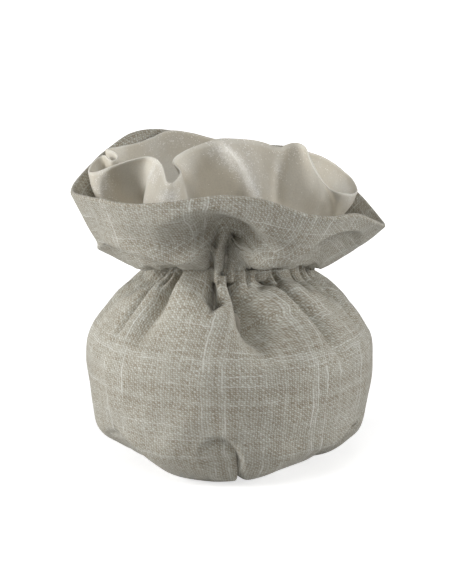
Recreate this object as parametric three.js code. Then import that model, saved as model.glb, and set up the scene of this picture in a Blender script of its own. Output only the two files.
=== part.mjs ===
// Round fabric pouch: linen body gathered at the neck, flared ruffle, organza frill inside.
// It stands on z = 0 with its axis on z. The front faces -y. All lengths are millimetres.
import * as THREE from 'three';

// Driving dimensions.
const bellyRadius = 45;
const neckRadius = 25.8;
const neckHeight = 63.2;
const rimRadius = 46;
const ruffleHeight = 32;
const ply = 0.9;
const clearance = 0.3;
const casingHeight = 3.4;
const casingDepth = 3.3;
const casingWall = 0.7;
const gatherDepth = 0.5;
const elasticWidth = 1.9;
const elasticThickness = 0.9;
const foldDepth = 4.8;
const puffHeight = 4.8;
const tuckDepth = 3.4;
const dentDepth = 3;
const patchRadius = 17.5;
const patchThickness = 0.8;
const boardRadius = 24;
const boardThickness = 1.3;
const organzaPly = 0.7;
const liningGap = 6.9;

// Counts: the gathers in the casing, and how finely the cloth is divided.
const neckGathers = 22;
const bodyAround = 100;
const ruffleAround = 84;
const ruffleAlong = 7;
const frillAround = 130;

// Colours.
const linenColour = 0xb0aca2;
const facingColour = 0xa6a196;
const organzaColour = 0xa79d8c;
const liningColour = 0xb9b0a1;
const elasticColour = 0xe6e3dc;
const boardColour = 0xcfc6b4;

function radians(degrees) {
  return degrees * Math.PI / 180;
}

function ease(x) {
  const t = Math.min(Math.max(x, 0), 1);
  return t * t * (3 - 2 * t);
}

// The difference of two azimuths, between -180 and 180 degrees.
function turnBetween(a, b) {
  return ((a - b + 540) % 360 + 360) % 360 - 180;
}

// One cubic piece through y1 and y2 at x1 and x2, with y0 and y3 as neighbours.
function cubic(x, xs, ys) {
  const span = xs[2] - xs[1];
  const u = (x - xs[1]) / span;
  const slopeA = (ys[2] - ys[0]) / (xs[2] - xs[0]) * span;
  const slopeB = (ys[3] - ys[1]) / (xs[3] - xs[1]) * span;
  const u2 = u * u;
  const u3 = u2 * u;
  return (2 * u3 - 3 * u2 + 1) * ys[1] + (u3 - 2 * u2 + u) * slopeA
    + (3 * u2 - 2 * u3) * ys[2] + (u3 - u2) * slopeB;
}

// A smooth line through rows [place, value, value, ...] that repeats after one period.
function aroundRows(rows, place, period) {
  const n = rows.length;
  const first = rows[0][0];
  const at = ((place - first) % period + period) % period + first;
  let i = 0;
  while (i < n - 1 && rows[i + 1][0] <= at) {
    i += 1;
  }
  const picks = [i - 1, i, i + 1, i + 2];
  const near = picks.map((k) => rows[(k + n) % n]);
  const xs = picks.map((k, m) => near[m][0] + period * Math.floor(k / n));
  return near[0].slice(1).map((unused, c) => cubic(at, xs, near.map((row) => row[c + 1])));
}

// A smooth open line through points, with its parameter going from 0 to 1 by length.
function lineThrough(points) {
  const knots = [0];
  for (let i = 1; i < points.length; i += 1) {
    const [a, b] = [points[i - 1], points[i]];
    knots.push(knots[i - 1] + Math.hypot(b[0] - a[0], b[1] - a[1]));
  }
  const length = knots[knots.length - 1];
  const last = points.length - 1;
  const before = points[0].map((v, c) => 2 * v - points[1][c]);
  const after = points[last].map((v, c) => 2 * v - points[last - 1][c]);
  const all = [before, ...points, after];
  const xs = [-knots[1], ...knots, 2 * length - knots[last - 1]];
  const place = (t) => {
    const x = Math.min(Math.max(t, 0), 1) * length;
    let i = 1;
    while (i < last && xs[i + 1] <= x) {
      i += 1;
    }
    const near = all.slice(i - 1, i + 3);
    return [0, 1].map((c) => cubic(x, xs.slice(i - 1, i + 3), near.map((p) => p[c])));
  };
  return { place, length, stops: knots.map((k) => k / length) };
}

// A point of a line moved by an amount to its right hand side, which is the outside here.
function shifted(line, t, amount) {
  const step = 0.002;
  const a = line.place(Math.max(t - step, 0));
  const b = line.place(Math.min(t + step, 1));
  const size = Math.hypot(b[0] - a[0], b[1] - a[1]);
  const [r, z] = line.place(t);
  return [r - (b[1] - a[1]) / size * amount, z + (b[0] - a[0]) / size * amount];
}

// Radius, azimuth from the front and height, as a point.
function turned(r, azimuth, z) {
  const a = radians(azimuth);
  return [r * Math.sin(a), -r * Math.cos(a), z];
}

// Places from 0 to 1 in even steps.
function evenStops(count) {
  return Array.from({ length: count + 1 }, (unused, i) => i / count);
}

// A closed skin between an outer and an inner grid of points, each grid going round the axis.
function clothShell(around, stops, outer, inner) {
  const positions = [];
  const indices = [];
  const rows = stops.length;
  const along = rows - 1;
  for (const side of [outer, inner]) {
    for (let i = 0; i < around; i += 1) {
      for (const stop of stops) {
        positions.push(...side(i / around, stop));
      }
    }
  }
  const outerAt = (i, j) => (i % around) * rows + j;
  const innerAt = (i, j) => around * rows + outerAt(i, j);
  const quad = (a, b, c, d) => indices.push(a, b, c, a, c, d);
  for (let i = 0; i < around; i += 1) {
    for (let j = 0; j < along; j += 1) {
      quad(outerAt(i, j), outerAt(i, j + 1), outerAt(i + 1, j + 1), outerAt(i + 1, j));
      quad(innerAt(i, j), innerAt(i + 1, j), innerAt(i + 1, j + 1), innerAt(i, j + 1));
    }
    quad(outerAt(i, 0), outerAt(i + 1, 0), innerAt(i + 1, 0), innerAt(i, 0));
    quad(outerAt(i, along), innerAt(i, along), innerAt(i + 1, along), outerAt(i + 1, along));
  }
  const geometry = new THREE.BufferGeometry();
  geometry.setAttribute('position', new THREE.Float32BufferAttribute(positions, 3));
  geometry.setIndex(indices);
  geometry.computeVertexNormals();
  return geometry;
}

// A ring whose cross-section is a list of points [radius, height, share of the gathers].
function sweptRing(around, section, depth, waves) {
  const positions = [];
  const indices = [];
  const n = section.length;
  for (let i = 0; i < around; i += 1) {
    const azimuth = 360 * i / around;
    const wave = depth * Math.cos(radians(azimuth) * waves);
    for (const [r, z, share] of section) {
      positions.push(...turned(r + wave * share, azimuth, z));
    }
    for (let j = 0; j < n; j += 1) {
      const a = i * n + j;
      const b = i * n + (j + 1) % n;
      const c = ((i + 1) % around) * n + (j + 1) % n;
      const d = ((i + 1) % around) * n + j;
      indices.push(a, d, c, a, c, b);
    }
  }
  const geometry = new THREE.BufferGeometry();
  geometry.setAttribute('position', new THREE.Float32BufferAttribute(positions, 3));
  geometry.setIndex(indices);
  geometry.computeVertexNormals();
  return geometry;
}

// A place between neck and belly: share of the way out, and share of the neck's height.
function upper(way, rise) {
  return [neckRadius + (bellyRadius - neckRadius) * way, neckHeight * rise];
}

// A place below the belly: share of the belly's radius, and share of the neck's height.
function lower(way, rise) {
  return [bellyRadius * way, neckHeight * rise];
}

const casingBottom = neckHeight - casingHeight / 2;
const casingTop = neckHeight + casingHeight / 2;
const casingInside = neckRadius - casingDepth;
const baseTop = patchThickness + clearance;

// Body cloth, from under the casing, over the belly, to the hole over the patch.
const bodyLine = lineThrough([
  [neckRadius, casingBottom - clearance],
  upper(0.057, 0.938),
  upper(0.156, 0.921),
  upper(0.375, 0.867),
  upper(0.656, 0.785),
  upper(0.875, 0.69),
  upper(0.979, 0.617),
  lower(1, 0.514),
  lower(0.987, 0.396),
  lower(0.96, 0.293),
  lower(0.931, 0.206),
  lower(0.876, 0.139),
  lower(0.787, 0.076),
  lower(0.678, 0.03),
  lower(0.556, 0.007),
  [patchRadius * 1.04, baseTop],
  [patchRadius * 0.52, baseTop],
]);

// Folds that leave the neck: azimuth at the neck and lower down, share of the full depth, reach
// as a share of the cloth's length, half width at the neck and lower down in degrees.
const neckFolds = [
  [-79, -84, 0.4, 0.24, 5, 6],
  [-54, -58, 0.55, 0.28, 4, 5],
  [-38, -42, 0.8, 0.2, 5, 7],
  [-13, -12, 1.2, 0.12, 4, 8],
  [6, 18, 1.25, 0.24, 5, 9],
  [25, 50, 0.8, 0.32, 4, 4],
  [77, 80, 0.45, 0.28, 5, 6],
  [101, 99, 0.5, 0.28, 5, 7],
  [129, 127, 0.6, 0.34, 5, 7],
  [160, 165, 0.65, 0.32, 5, 7],
  [-168, -163, 0.65, 0.36, 5, 7],
  [-137, -140, 0.6, 0.32, 5, 7],
  [-106, -106, 0.5, 0.28, 5, 6],
];

// How far the cloth puffs up round the neck: azimuth, share of the full height.
const bodyPuffs = [
  [-180, 0.31],
  [-120, 0.2],
  [-90, 0],
  [-62, 0.3],
  [-38, 0.95],
  [-20, 1],
  [-4, 0.5],
  [12, 0.85],
  [30, 0.8],
  [55, 0.33],
  [90, 0],
  [130, 0.2],
];

// Where the puffing starts, is full and has gone again, as shares of the cloth's length.
const [puffStart, puffFull, puffEnd] = [0.013, 0.035, 0.14];

// Tucks that pull the belly in over the base: azimuth above and below, share of the full depth.
const baseTucks = [
  [-60, -42, 0.9],
  [-6, 4, 1],
  [74, 53, 0.9],
  [114, 106, 0.9],
  [156, 156, 0.9],
  [-156, -150, 0.9],
  [-108, -102, 0.9],
];

// Where the tucks start, are full and end again, as shares of the cloth's length.
const [tuckStart, tuckFull, tuckFade, tuckEnd] = [0.46, 0.72, 0.76, 0.85];

function bodyFold(azimuth, t) {
  let shift = 0;
  for (const [top, low, share, reach, topWidth, lowWidth] of neckFolds) {
    const fade = ease(t / reach);
    const width = topWidth + (lowWidth - topWidth) * Math.min(t / reach, 1);
    const x = turnBetween(azimuth, top + (low - top) * fade) / width;
    shift -= foldDepth * share * Math.exp(-x * x) * (1 - fade) * ease(t / 0.045);
  }
  for (const [top, low, share] of baseTucks) {
    const along = ease((t - tuckStart) / (tuckFull - tuckStart));
    const x = turnBetween(azimuth, top + (low - top) * along) / 9;
    const ending = ease((t - tuckFade) / (tuckEnd - tuckFade));
    shift -= tuckDepth * share * Math.exp(-x * x) * along * (1 - ending);
  }
  return shift;
}

function bodyPoint(depth) {
  return (u, t) => {
    const azimuth = 360 * u - 180;
    const [r, z] = shifted(bodyLine, t, bodyFold(azimuth, t) - depth);
    const rising = ease((t - puffStart) / (puffFull - puffStart));
    const falling = 1 - ease((t - puffFull) / (puffEnd - puffFull));
    const puff = puffHeight * aroundRows(bodyPuffs, azimuth, 360)[0] * rising * falling;
    return turned(r, azimuth, z + puff);
  };
}

// A place of the ruffle: share of the way from the neck out to the rim, and of the height.
function flared(way, rise) {
  return [neckRadius + (rimRadius - neckRadius) * way, neckHeight + ruffleHeight * rise];
}

// The ruffle goes from its root over a throat and a shoulder up to the rim. Each row is an azimuth
// and then way and rise of throat, shoulder, lower wall, upper wall and rim.
const ruffleRows = [
  [-180, 0.11, 0.135, 0.55, 0.21, 0.7, 0.45, 0.83, 0.68, 0.95, 0.88],
  [-150, 0.11, 0.135, 0.58, 0.21, 0.73, 0.51, 0.875, 0.79, 1, 1.045],
  [-122, 0.13, 0.1, 0.63, 0.18, 0.8, 0.43, 0.96, 0.67, 1.1, 0.88],
  [-95, 0.17, 0.075, 0.685, 0.16, 0.855, 0.345, 1.015, 0.53, 1.16, 0.695],
  [-58, 0.15, 0.095, 0.685, 0.23, 0.835, 0.43, 0.98, 0.615, 1.11, 0.78],
  [-28, 0.12, 0.14, 0.505, 0.195, 0.58, 0.42, 0.85, 0.65, 0.93, 0.845],
  [-19, 0.09, 0.155, 0.4, 0.21, 0.34, 0.49, 0.825, 0.705, 0.875, 0.88],
  [-11, 0.02, 0.17, 0.14, 0.26, 0.1, 0.59, 0.76, 0.755, 0.835, 0.905],
  [-2, -0.04, 0.2, 0, 0.33, 0.035, 0.64, 0.715, 0.78, 0.795, 0.925],
  [7, -0.02, 0.18, 0.07, 0.285, 0.055, 0.61, 0.715, 0.735, 0.825, 0.91],
  [14, 0.07, 0.155, 0.31, 0.22, 0.24, 0.52, 0.755, 0.67, 0.865, 0.88],
  [22, 0.12, 0.145, 0.515, 0.19, 0.59, 0.4, 0.83, 0.62, 0.91, 0.82],
  [31, 0.13, 0.13, 0.585, 0.225, 0.725, 0.405, 0.875, 0.57, 0.975, 0.725],
  [42, 0.14, 0.115, 0.665, 0.36, 0.79, 0.47, 0.915, 0.575, 1.02, 0.665],
  [56, 0.16, 0.095, 0.8, 0.475, 0.89, 0.535, 0.97, 0.59, 1.04, 0.64],
  [82, 0.18, 0.075, 0.685, 0.185, 0.84, 0.26, 0.99, 0.335, 1.12, 0.4],
  [102, 0.16, 0.085, 0.655, 0.175, 0.805, 0.245, 0.95, 0.315, 1.08, 0.38],
  [126, 0.13, 0.11, 0.605, 0.2, 0.765, 0.335, 0.915, 0.47, 1.05, 0.585],
  [152, 0.11, 0.135, 0.555, 0.21, 0.715, 0.45, 0.865, 0.67, 1, 0.865],
];

// Shallow dents of the ruffle: azimuth, share of the full depth, half width in degrees.
const ruffleDents = [
  [104, 0.8, 10],
  [140, 0.85, 10],
  [178, 1, 10],
  [-138, 0.35, 10],
  [-108, 0.5, 9],
];

const ruffleRoot = [neckRadius - 1.2 * ply, casingTop + clearance];

function ruffleLine(azimuth) {
  const row = aroundRows(ruffleRows, azimuth, 360);
  const places = [0, 2, 4, 6, 8].map((k) => flared(row[k], row[k + 1]));
  return lineThrough([ruffleRoot, ...places]);
}

function rufflePoint(depth) {
  return (u, t) => {
    const azimuth = 360 * u - 180;
    const way = 1 - t;
    let shift = depth;
    for (const [middle, share, width] of ruffleDents) {
      const x = turnBetween(azimuth, middle) / width;
      shift += dentDepth * share * Math.exp(-x * x) * Math.sin(Math.PI * way);
    }
    const [r, z] = shifted(ruffleLine(azimuth), way, shift);
    return turned(r, azimuth, z);
  };
}

// The frill, going round from the left: x and y of its upper edge as shares of the rim's radius,
// height of the edge over the neck as a share of the ruffle's height, and x and y lower down.
const frillEdge = [
  [-0.945, 0.12, 0.88, -0.865, 0.095],
  [-0.93, 0.01, 0.905, -0.87, -0.05],
  [-0.87, -0.07, 0.935, -0.82, -0.195],
  [-0.785, -0.11, 0.995, -0.745, -0.045],
  [-0.61, -0.165, 1.09, -0.6, -0.065],
  [-0.49, -0.23, 1.1, -0.525, -0.315],
  [-0.44, -0.36, 1.035, -0.5, -0.47],
  [-0.4, -0.505, 0.95, -0.43, -0.57],
  [-0.37, -0.5, 0.955, -0.36, -0.56],
  [-0.33, -0.345, 0.995, -0.29, -0.385],
  [-0.365, -0.195, 1.03, -0.28, -0.18],
  [-0.365, -0.08, 1.065, -0.235, -0.02],
  [-0.285, 0.04, 1.115, -0.135, 0.02],
  [-0.14, 0.115, 1.17, 0.01, -0.055],
  [-0.05, 0.135, 1.195, 0.135, -0.245],
  [0.09, 0.11, 1.195, 0.215, -0.35],
  [0.25, 0.035, 1.175, 0.295, -0.315],
  [0.35, 0.02, 1.14, 0.345, -0.175],
  [0.42, 0.105, 1.16, 0.425, -0.215],
  [0.495, 0.045, 1.155, 0.52, -0.34],
  [0.535, -0.09, 1.085, 0.605, -0.405],
  [0.6, -0.25, 0.93, 0.675, -0.41],
  [0.73, -0.285, 0.79, 0.735, -0.33],
  [0.85, -0.11, 0.735, 0.755, -0.15],
  [0.835, 0.175, 0.78, 0.755, 0.15],
  [0.71, 0.435, 0.87, 0.65, 0.405],
  [0.48, 0.68, 0.93, 0.445, 0.625],
  [0.18, 0.785, 0.955, 0.165, 0.725],
  [-0.11, 0.815, 1.005, -0.105, 0.755],
  [-0.425, 0.815, 1.085, -0.375, 0.715],
  [-0.635, 0.695, 1, -0.55, 0.595],
  [-0.84, 0.435, 0.995, -0.76, 0.38],
  [-0.865, 0.325, 1.02, -0.81, 0.285],
  [-0.81, 0.23, 1.035, -0.755, 0.19],
  [-0.76, 0.14, 1.005, -0.715, 0.1],
  [-0.85, 0.17, 0.95, -0.8, 0.135],
].map(([x, y, rise, lowX, lowY]) => [
  rimRadius * x,
  rimRadius * y,
  neckHeight + ruffleHeight * rise,
  rimRadius * lowX,
  rimRadius * lowY,
]);

// The frill stands straight up at first. How far up that ends, and how far up the lower places are.
const frillUpright = 0.14;
const frillMiddle = 0.66;
const frillStops = [0, 0.16, 0.34, 0.52, 0.7, 0.86, 1];

const frillRootRadius = casingInside - 2 * clearance;
const frillRootHeight = casingTop - clearance / 3;

// The edge with the distance gone along it in front of each place.
const frillRows = [];
let frillLength = 0;
frillEdge.forEach((point, i) => {
  const next = frillEdge[(i + 1) % frillEdge.length];
  frillRows.push([frillLength, ...point]);
  frillLength += Math.hypot(next[0] - point[0], next[1] - point[1], next[2] - point[2]);
});

// A place of the frill, on one smooth line through root, lower place and edge.
function frillPlace(u, rise) {
  const [x, y, z, lowX, lowY] = aroundRows(frillRows, u * frillLength, frillLength);
  const turn = radians(172) + u * 2 * Math.PI;
  const way = Math.max(rise - frillUpright, 0) / (1 - frillUpright);
  const middle = (frillMiddle - frillUpright) / (1 - frillUpright);
  const root = (way - middle) * (way - 1) / middle;
  const low = way * (way - 1) / (middle * (middle - 1));
  const edge = way * (way - middle) / (1 - middle);
  return [
    frillRootRadius * Math.cos(turn) * root + lowX * low + x * edge,
    frillRootRadius * Math.sin(turn) * root + lowY * low + y * edge,
    frillRootHeight + (z - frillRootHeight) * rise,
  ];
}

function frillPoint(depth) {
  return (u, t) => {
    const step = 1 / 600;
    const [x, y, z] = frillPlace(u, 1 - t);
    const a = frillPlace(u - step, 1 - t);
    const b = frillPlace(u + step, 1 - t);
    const size = Math.hypot(b[0] - a[0], b[1] - a[1]);
    return [x - (b[1] - a[1]) / size * depth, y + (b[0] - a[0]) / size * depth, z];
  };
}

// The organza bag inside the body carries the filling. Its outline keeps a gap to the body.
const boardBottom = baseTop + ply + clearance;
const liningFloor = boardBottom + boardThickness + 2 * clearance;
const liningSpan = bellyRadius - ply - liningGap - frillRootRadius;

function liningPlace(way, rise) {
  return [frillRootRadius + liningSpan * way, neckHeight * rise];
}

const liningLine = [
  [frillRootRadius, frillRootHeight - clearance],
  liningPlace(0, 0.955),
  liningPlace(0.11, 0.886),
  liningPlace(0.45, 0.78),
  liningPlace(0.79, 0.659),
  liningPlace(0.98, 0.52),
  liningPlace(1, 0.358),
  liningPlace(0.75, 0.203),
  [boardRadius * 1.1, liningFloor + 2.5 * organzaPly],
  [boardRadius * 0.87, liningFloor],
];

function liningGeometry() {
  const outline = [[0, liningFloor]];
  for (const [r, z] of [...liningLine].reverse()) {
    outline.push([r, z]);
  }
  const low = liningLine.length - 3;
  liningLine.forEach(([r, z], i) => {
    outline.push([r - organzaPly, i > low ? z + organzaPly : z]);
  });
  outline.push([0, liningFloor + organzaPly]);
  return new THREE.LatheGeometry(outline.map(([r, z]) => new THREE.Vector2(r, z)), 40);
}

// A flat disc from one height to another, its edge broken by a small chamfer.
function disc(radius, bottom, thickness) {
  const cut = thickness / 5;
  const outline = [
    [0, bottom],
    [radius - cut, bottom],
    [radius, bottom + cut],
    [radius, bottom + thickness - cut],
    [radius - cut, bottom + thickness],
    [0, bottom + thickness],
  ];
  return new THREE.LatheGeometry(outline.map(([r, z]) => new THREE.Vector2(r, z)), 40);
}

// A lathe turns about y, so the shape is stood up on z.
function upright(geometry) {
  return geometry.rotateX(Math.PI / 2);
}

// The casing is an open channel that hugs the elastic from outside.
const wallInside = neckRadius - casingWall;
const casingSection = [
  [casingInside, casingBottom, 0],
  [neckRadius, casingBottom, 1],
  [neckRadius, casingTop, 1],
  [casingInside, casingTop, 0],
  [casingInside, casingTop - casingWall, 0],
  [wallInside, casingTop - casingWall, 1],
  [wallInside, casingBottom + casingWall, 1],
  [casingInside, casingBottom + casingWall, 0],
];

const elasticOuter = wallInside - gatherDepth - clearance;
const elasticInner = elasticOuter - elasticThickness;
const elasticSection = [
  [elasticInner, neckHeight - elasticWidth / 2, 0],
  [elasticOuter, neckHeight - elasticWidth / 2, 0],
  [elasticOuter, neckHeight + elasticWidth / 2, 0],
  [elasticInner, neckHeight + elasticWidth / 2, 0],
];

const group = new THREE.Group();
group.name = 'round_pouch';

function add(name, geometry, colour, roughness) {
  const material = new THREE.MeshStandardMaterial({ color: colour, roughness, metalness: 0 });
  const mesh = new THREE.Mesh(geometry, material);
  mesh.name = name;
  group.add(mesh);
}

add(
  'body_cloth',
  clothShell(bodyAround, bodyLine.stops, bodyPoint(0), bodyPoint(ply)),
  linenColour,
  0.9,
);
add('base_patch', upright(disc(patchRadius, 0, patchThickness)), linenColour, 0.9);
add('base_board', upright(disc(boardRadius, boardBottom, boardThickness)), boardColour, 0.8);
add('neck_casing', sweptRing(4 * neckGathers, casingSection, gatherDepth, neckGathers), linenColour, 0.9);
add('neck_elastic', sweptRing(60, elasticSection, 0, 0), elasticColour, 0.6);
add(
  'ruffle_outer',
  clothShell(ruffleAround, evenStops(ruffleAlong), rufflePoint(0), rufflePoint(ply)),
  linenColour,
  0.9,
);
add(
  'ruffle_facing',
  clothShell(
    ruffleAround,
    evenStops(ruffleAlong),
    rufflePoint(ply + 1.5 * clearance),
    rufflePoint(2 * ply + 1.5 * clearance),
  ),
  facingColour,
  0.9,
);
add(
  'organza_frill',
  clothShell(frillAround, frillStops, frillPoint(0), frillPoint(organzaPly)),
  organzaColour,
  0.45,
);
add('organza_lining', upright(liningGeometry()), liningColour, 0.5);

export default group;
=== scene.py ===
import math

import bpy
import numpy as np
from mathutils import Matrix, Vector


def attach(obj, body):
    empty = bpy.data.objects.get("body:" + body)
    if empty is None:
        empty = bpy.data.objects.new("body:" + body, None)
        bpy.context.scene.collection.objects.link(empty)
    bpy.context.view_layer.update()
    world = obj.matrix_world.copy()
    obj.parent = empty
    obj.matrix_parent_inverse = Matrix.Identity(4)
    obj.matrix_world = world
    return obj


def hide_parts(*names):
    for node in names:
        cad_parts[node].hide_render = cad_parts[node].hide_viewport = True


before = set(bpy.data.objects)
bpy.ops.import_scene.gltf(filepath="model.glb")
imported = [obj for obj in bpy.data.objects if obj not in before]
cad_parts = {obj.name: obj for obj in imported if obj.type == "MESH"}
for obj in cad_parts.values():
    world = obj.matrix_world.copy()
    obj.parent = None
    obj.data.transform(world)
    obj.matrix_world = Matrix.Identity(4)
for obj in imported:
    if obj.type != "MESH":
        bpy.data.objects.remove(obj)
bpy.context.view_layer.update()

# Lengths in the shape code are millimetres, azimuths are degrees from the front, positive to the right.
millimetre = 0.001


# Shape helpers

def smoothStep(x):
    x = np.clip(x, 0.0, 1.0)
    return x * x * (3.0 - 2.0 * x)


def wrapDegrees(angle):
    return (np.asarray(angle, float) + 180.0) % 360.0 - 180.0


def cubicBetween(u, span, y0, y1, y2, y3, before, after):
    slopeA = (y2 - y0) / before * span
    slopeB = (y3 - y1) / after * span
    return (
        (2 * u**3 - 3 * u**2 + 1) * y1
        + (u**3 - 2 * u**2 + u) * slopeA
        + (3 * u**2 - 2 * u**3) * y2
        + (u**3 - u**2) * slopeB
    )


def throughKnots(x, y, q):
    # Reads at q the smooth line that has the values y at x. The first and last of them only steer it.
    i = np.clip(np.searchsorted(x, q, side="right") - 1, 1, len(x) - 3)
    span = (x[i + 1] - x[i])[..., None]
    u = ((q - x[i]) / (x[i + 1] - x[i]))[..., None]
    before = (x[i + 1] - x[i - 1])[..., None]
    after = (x[i + 2] - x[i])[..., None]
    return cubicBetween(u, span, y[i - 1], y[i], y[i + 1], y[i + 2], before, after)


def splineOpen(points, places):
    # A smooth line through points; places go from 0 to 1 by length.
    pts = np.array(points, float)
    knots = np.concatenate([[0], np.cumsum(np.linalg.norm(np.diff(pts, axis=0), axis=1))])
    length = knots[-1]
    knots = knots / length
    ends = np.concatenate([[2 * pts[0] - pts[1]], pts, [2 * pts[-1] - pts[-2]]])
    x = np.concatenate([[-knots[1]], knots, [2 - knots[-2]]])
    return throughKnots(x, ends, np.clip(np.asarray(places, float), 0, 1)), length


def splineAround(rows, places, period):
    # A smooth line through rows [place, value, ...] that repeats after one period.
    table = np.array(rows, float)
    place, value = table[:, 0], table[:, 1:]
    x = np.concatenate([place[-2:] - period, place, place[:2] + period])
    y = np.concatenate([value[-2:], value, value[:2]])
    return throughKnots(x, y, (np.asarray(places, float) - place[0]) % period + place[0])


def creases(around, along, period, seed, size, count=40):
    # Soft random unevenness of cloth, the same after one period round the pouch.
    rng = np.random.default_rng(seed)
    total = np.zeros((len(around), len(along)))
    for _ in range(count):
        wave = rng.uniform(size * 0.6, size * 2.2)
        heading = rng.uniform(0, 2 * math.pi)
        turns = round(period / wave * math.cos(heading))
        rise = 2 * math.pi / wave * math.sin(heading)
        start = rng.uniform(0, 2 * math.pi)
        phase = 2 * math.pi * turns * around[:, None] / period + rise * along[None, :] + start
        total += np.cos(phase) * wave / size
    return total / math.sqrt(count)


def foldRing(radius, length, folds, anchor, count, spread=None):
    # Lays a cloth of the given length round a circle. Folds, each of which is (azimuth, hidden
    # length, half width, lean), take up part of what is too long for it. The rest is scaled away,
    # so the line made is shorter than the cloth. spread says how much cloth each half degree takes
    # where the ring isn't round.
    # Returns azimuth, inward depth and sideways lean at even places along the cloth.
    dense = np.linspace(-180, 180, 1801)
    density = np.ones_like(dense)
    if spread is not None:
        density *= np.interp(dense, np.arange(721) / 2 - 180, np.append(spread, spread[0]))
    depth = np.zeros_like(dense)
    lean = np.zeros_like(dense)
    reach = np.linspace(0, 5, 161)
    for azimuth, hidden, width, leaning in folds:
        if hidden < 0.03:
            continue
        x = np.abs(np.radians(wrapDegrees(dense - azimuth)) * radius / width)
        peak = hidden / (width * math.sqrt(math.pi))
        density += peak * np.exp(-x * x)
        g = peak * np.exp(-reach * reach)
        slope = np.sqrt(2 * g + g * g) * width
        below = np.concatenate([np.cumsum(slope[::-1])[::-1][1:], [0]]) * (reach[1] - reach[0])
        d = np.interp(np.sqrt(x * x + 0.04), reach, below)
        depth += d
        lean += leaning * d
    cloth = np.concatenate([[0], np.cumsum((density[1:] + density[:-1]) / 2)])
    cloth *= length / cloth[-1]
    cloth += length * (anchor + 180) / 360 - np.interp(anchor, dense, cloth)
    clothLoop = np.concatenate([cloth[:-1] - length, cloth, cloth[1:] + length])
    denseLoop = np.concatenate([dense[:-1] - 360, dense, dense[1:] + 360])
    azimuths = np.interp(np.arange(count) / count * length, clothLoop, denseLoop)
    near = wrapDegrees(azimuths)
    return azimuths, np.interp(near, dense, depth), np.interp(near, dense, lean)


def outward(line, step):
    # Direction to the right hand side of a line of (radius, height) places.
    d = np.gradient(line, step, axis=-2)
    d /= np.linalg.norm(d, axis=-1)[..., None]
    return d


def turned(radius, azimuth, height):
    a = np.radians(azimuth)
    return np.stack([radius * np.sin(a), -radius * np.cos(a), height + 0 * radius], -1)


def gridMesh(name, points, weave, length, flip=False, closed=False):
    # A mesh that goes round once, from a grid of points [around, along] in millimetres.
    # weave holds the cloth's own coordinates in millimetres at each point.
    around, along, _ = points.shape
    i, j = np.meshgrid(np.arange(around), np.arange(along if closed else along - 1), indexing="ij")
    i, j = i.ravel(), j.ravel()
    i2, j2 = (i + 1) % around, (j + 1) % along
    corners = [(i, j), (i2, j), (i2, j2), (i, j2)]
    if flip:
        corners = corners[::-1]
    faces = np.stack([a * along + b for a, b in corners], 1)
    mesh = bpy.data.meshes.new(name)
    mesh.from_pydata((points.reshape(-1, 3) * millimetre).tolist(), [], faces.tolist())
    layer = mesh.uv_layers.new(name="weave")
    uv = np.stack([weave[a, b] for a, b in corners], 1)
    seam = (i == around - 1)
    for k, (a, b) in enumerate(corners):
        uv[seam, k, 0] = np.where(a[seam] == 0, length, uv[seam, k, 0])
    layer.data.foreach_set("uv", uv.reshape(-1).astype(np.float32))
    mesh.shade_smooth()
    mesh.update()
    piece = bpy.data.objects.new(name, mesh)
    bpy.context.scene.collection.objects.link(piece)
    return piece


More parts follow.
